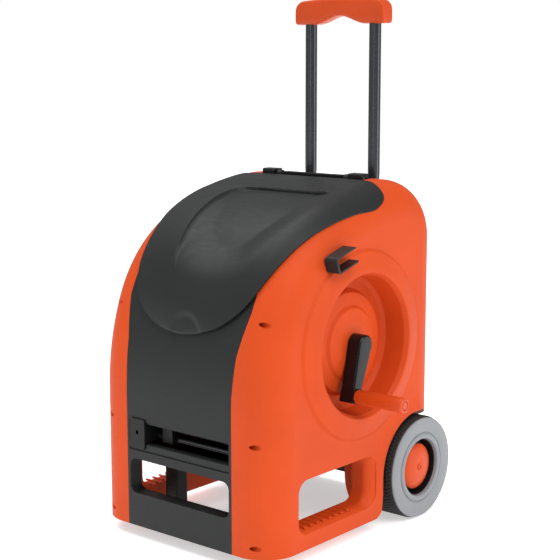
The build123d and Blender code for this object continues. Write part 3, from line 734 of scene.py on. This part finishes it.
class CART_OT_fittings(CartOperator, Operator):
    """Hinges, clip, hose guide, legs, drum and small fittings"""
    bl_idname = "cart.fittings"
    bl_label = "Fittings"

    def execute(self, context):
        rounding = {"nozzle_clip": 0.0008, "hose_guide": 0.0006, "hinge_block_left": 0.001,
                    "hinge_block_right": 0.001,
                    "hinge_rail": 0.001, "front_leg_left": 0.001, "front_leg_right": 0.001,
                    "foot_pad_left": 0.001, "foot_pad_right": 0.001, "drum_flange_left": 0.0005,
                    "drum_flange_right": 0.0005, "drum_core": 0.0, "drum_shaft": 0.0005,
                    "water_inlet": 0.0005, "guide_rod_lower": 0.0005, "guide_rod_upper": 0.0005,
                    "handle_sleeve_left": 0.0, "handle_sleeve_right": 0.0, "inner_floor": 0.0005}
        for node, width in rounding.items():
            smooth_copy(node, node + "_finished", width)
        return {"FINISHED"}


# name, kind, place, width (a sun's spread), height, power
LAMPS = (("key", "SUN", (2.2, -0.6, 3.0), 0.7, 0.0, 1.7),
         ("top", "SUN", (-0.9, -0.2, 3.0), 0.9, 0.0, 2.0),
         ("strip", "AREA", (0.88, -2.87, 1.3), 0.10, 2.4, 7.0),
         ("side_box", "AREA", (2.6, 1.3, 1.0), 0.9, 1.6, 17.0),
         ("front_box", "AREA", (-1.6, -2.6, 1.6), 1.2, 1.2, 6.0))
LAMP_AIM = 0.35
FLOOR_HALF, FLOOR_GLOW = 6.0, 0.5


class CART_OT_stage(CartOperator, Operator):
    """Pale floor, soft lights and the camera"""
    bl_idname = "cart.stage"
    bl_label = "Stage"

    def execute(self, context):
        s = context.scene.cart_stage
        span = FLOOR_HALF * np.array([(-1, -1, 0), (1, -1, 0), (1, 1, 0), (-1, 1, 0)], float)
        floor_mesh = mesh_from("floor", span, np.array([[0, 1, 2, 3]]))
        paper = moulded("floor_paper", (0.86, 0.86, 0.86), 0.8, grain=200.0, depth=0.00002, patch=0.01,
                        pale_edge=0.0)
        shader = paper.node_tree.nodes["Principled BSDF"]
        shader.inputs["Emission Color"].default_value = (1.0, 1.0, 1.0, 1.0)
        shader.inputs["Emission Strength"].default_value = FLOOR_GLOW
        floor_mesh.materials.append(paper)
        floor = bpy.data.objects.new("floor", floor_mesh)
        context.scene.collection.objects.link(floor)
        world = bpy.data.worlds.new("studio")
        world.use_nodes = True
        tree = world.node_tree
        back = tree.nodes["Background"]
        back.inputs["Color"].default_value = (1.0, 1.0, 1.0, 1.0)
        seen = tree.nodes.new("ShaderNodeLightPath").outputs["Is Camera Ray"]
        power = tree.nodes.new("ShaderNodeMapRange")
        power.inputs["To Min"].default_value = s.ambient
        power.inputs["To Max"].default_value = 1.0
        tree.links.new(seen, power.inputs["Value"])
        tree.links.new(power.outputs["Result"], back.inputs["Strength"])
        context.scene.world = world
        context.scene.view_settings.view_transform = "Standard"
        for name, kind, place, wide, high, strength in LAMPS:
            light = bpy.data.lights.new(name, kind)
            light.energy = strength
            if kind == "SUN":
                light.angle = wide
            else:
                light.shape, light.size, light.size_y = "RECTANGLE", wide, high
            lamp = bpy.data.objects.new(name, light)
            lamp.location = place
            aim = -np.array(place) + (0, 0, LAMP_AIM)
            lamp.rotation_euler = (np.arctan2(np.hypot(aim[0], aim[1]), -aim[2]), 0,
                                   np.arctan2(aim[1], aim[0]) - pi / 2)
            context.scene.collection.objects.link(lamp)
        lens = bpy.data.cameras.new("camera")
        lens.lens, lens.sensor_width = s.lens, 36.0
        camera = bpy.data.objects.new("camera", lens)
        camera.location = s.eye
        camera.rotation_euler = (pi / 2 - s.pitch, 0, s.azimuth)
        context.scene.collection.objects.link(camera)
        context.scene.camera = camera
        return {"FINISHED"}


OPERATORS = (CART_OT_finishes, CART_OT_ribs, CART_OT_lid, CART_OT_wheels, CART_OT_handle,
             CART_OT_crank, CART_OT_fittings, CART_OT_stage)


class CART_PT_build(Panel):
    """Sidebar list of the cart's settings and pieces"""
    bl_idname = "CART_PT_build"
    bl_label = "Hose Cart"
    bl_space_type = "VIEW_3D"
    bl_region_type = "UI"
    bl_category = "Hose Cart"

    def draw(self, context):
        scene = context.scene
        for group in (scene.cart_colours, scene.cart_lid, scene.cart_wheels, scene.cart_stage):
            box = self.layout.box()
            for key in group.__annotations__:
                box.prop(group, key)
        for operator in OPERATORS:
            self.layout.operator(operator.bl_idname)


GROUPS = {"cart_colours": CartColours, "cart_lid": LidShape, "cart_wheels": WheelShape,
          "cart_stage": StageSettings}


def register():
    """Register the settings, operators and panel."""
    for key, group in GROUPS.items():
        bpy.utils.register_class(group)
        setattr(bpy.types.Scene, key, PointerProperty(type=group))
    for cls in (*OPERATORS, CART_PT_build):
        bpy.utils.register_class(cls)


def unregister():
    """Remove what register added."""
    for cls in (CART_PT_build, *reversed(OPERATORS)):
        bpy.utils.unregister_class(cls)
    for key, group in GROUPS.items():
        delattr(bpy.types.Scene, key)
        bpy.utils.unregister_class(group)


def main():
    """Build every piece and the stage."""
    register()
    for operator in OPERATORS:
        group, name = operator.bl_idname.split(".")
        getattr(getattr(bpy.ops, group), name)()


if __name__ == "__main__":
    main()
